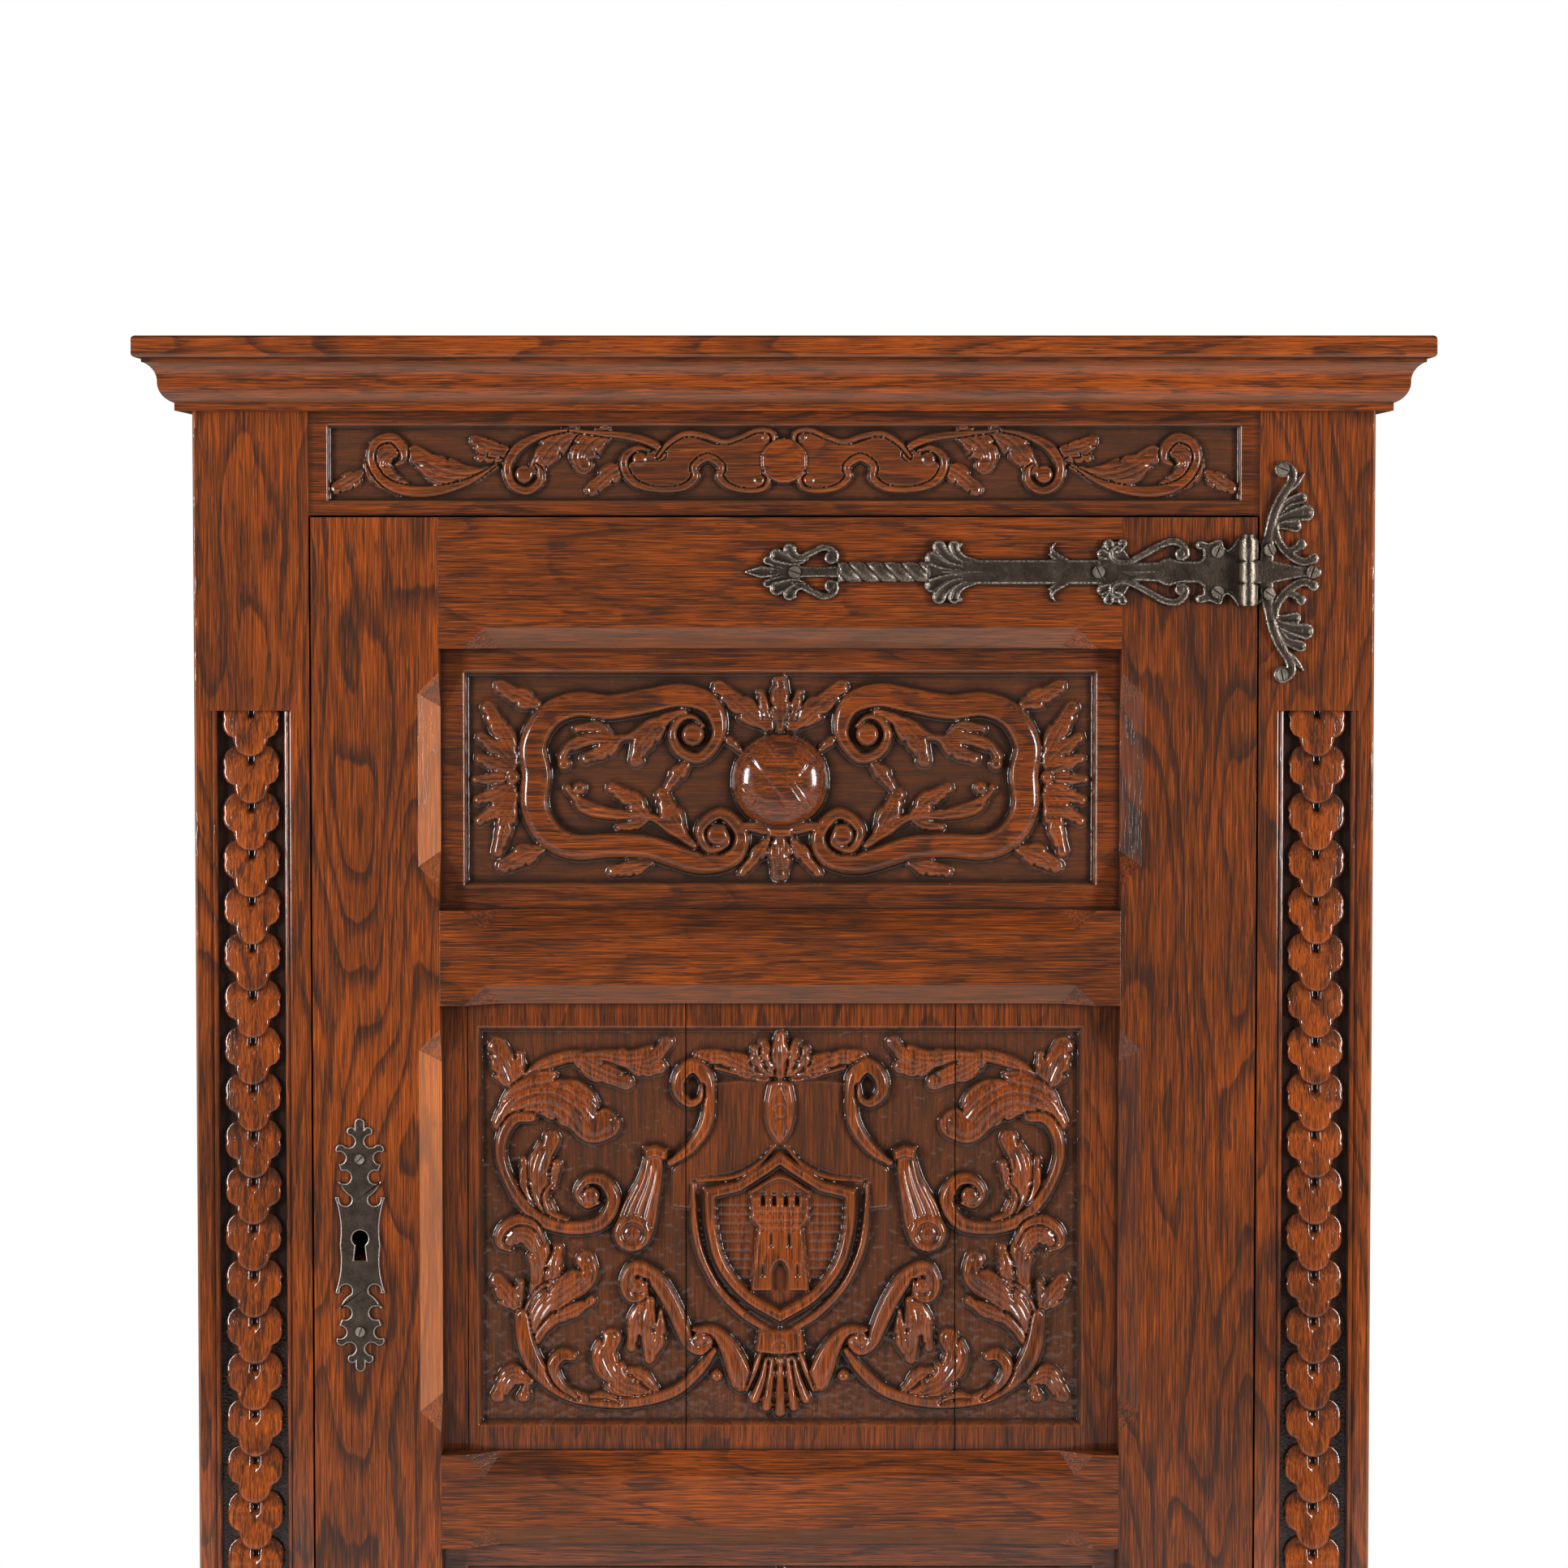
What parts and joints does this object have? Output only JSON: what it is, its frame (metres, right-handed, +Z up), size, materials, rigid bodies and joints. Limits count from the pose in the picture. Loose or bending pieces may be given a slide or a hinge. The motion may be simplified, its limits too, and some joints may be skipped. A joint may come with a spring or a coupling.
{
  "type": "bonnetiere cabinet",
  "caption": "Tall narrow carved oak cupboard with a moulded cornice, one panelled door on iron strap hinges, a drawer and bun feet.",
  "frame": {"origin": "on the floor, under the middle of the overall box", "axes": "+X to the right when facing the door, -Y out of the door, +Z up"},
  "size_m": [0.9768, 0.4784, 1.6813],
  "materials": {
    "stained_oak": "red-brown stain under satin varnish",
    "carved_oak": "red-brown stain under satin varnish, darker in the hollows",
    "plain_oak": "bare, waxed",
    "wrought_iron": "blackened, waxed, worn bright on the edges",
    "plain_steel": "dull, turned"
  },
  "bodies": {
    "cabinet": {"back_boards": "plain_oak", "back_post_left": "stained_oak", "back_post_right": "stained_oak", "back_rails": "plain_oak", "base_moulding": "stained_oak", "base_rail": "stained_oak", "bottom_board": "plain_oak", "bun_foot_back_left": "stained_oak", "bun_foot_back_right": "stained_oak", "bun_foot_front_left": "stained_oak", "bun_foot_front_right": "stained_oak", "cabinet_floor": "plain_oak", "cornice_board": "stained_oak", "cornice_moulding": "stained_oak", "door_stop": "plain_oak", "drawer_rail": "stained_oak", "drawer_runners": "plain_oak", "frieze_rail": "stained_oak", "front_post_left": "stained_oak", "front_post_right": "stained_oak", "jamb_hinge_lower": "wrought_iron", "jamb_hinge_screws": "plain_steel", "jamb_hinge_upper": "wrought_iron", "lock_keeper": "plain_steel", "lock_keeper_screws": "plain_steel", "shelf_cleats": "plain_oak", "shelves": "plain_oak", "side_panels_left": "stained_oak", "side_panels_right": "stained_oak", "side_rails_left": "stained_oak", "side_rails_right": "stained_oak"},
    "door": {"door_lock_stile": "stained_oak", "door_hinge_stile": "stained_oak", "door_top_rail": "stained_oak", "door_upper_rail": "stained_oak", "door_lower_rail": "stained_oak", "door_bottom_rail": "stained_oak", "door_upper_panel": "carved_oak", "door_middle_panel": "carved_oak", "door_lower_panel": "carved_oak", "strap_hinge_upper": "wrought_iron", "strap_hinge_lower": "wrought_iron", "strap_hinge_screws": "plain_steel", "hinge_pins": "wrought_iron", "lock_plate": "wrought_iron", "lock_plate_screws": "plain_steel", "lock_case": "plain_steel", "lock_cover": "plain_steel", "lock_spring": "plain_steel", "lock_case_screws": "plain_steel"},
    "bolt": {"lock_bolt": "plain_steel"},
    "drawer": {"drawer_front": "stained_oak", "drawer_sides": "plain_oak", "drawer_back": "plain_oak", "drawer_bottom": "plain_oak", "pull_plates": "wrought_iron"},
    "pull_left": {"drop_pull_left": "wrought_iron"},
    "pull_right": {"drop_pull_right": "wrought_iron"}
  },
  "joints": [
    {"name": "door_hinge", "type": "hinge", "parent": "cabinet", "child": "door", "pos_m": [0.3524, -0.2093, 0.9986], "axis": [0, 0, 1], "range_deg": [0, 170]},
    {"name": "lock_bolt", "type": "slide", "parent": "door", "child": "bolt", "axis": [-1, 0, 0], "range_m": [0, 0.01]},
    {"name": "drawer_slide", "type": "slide", "parent": "cabinet", "child": "drawer", "axis": [0, -1, 0], "range_m": [0, 0.3]},
    {"name": "left_pull", "type": "hinge", "parent": "drawer", "child": "pull_left", "pos_m": [-0.26, -0.2098, 0.319], "axis": [-1, 0, 0], "range_deg": [0, 80]},
    {"name": "right_pull", "type": "hinge", "parent": "drawer", "child": "pull_right", "pos_m": [0.26, -0.2098, 0.319], "axis": [-1, 0, 0], "range_deg": [0, 80]}
  ]
}
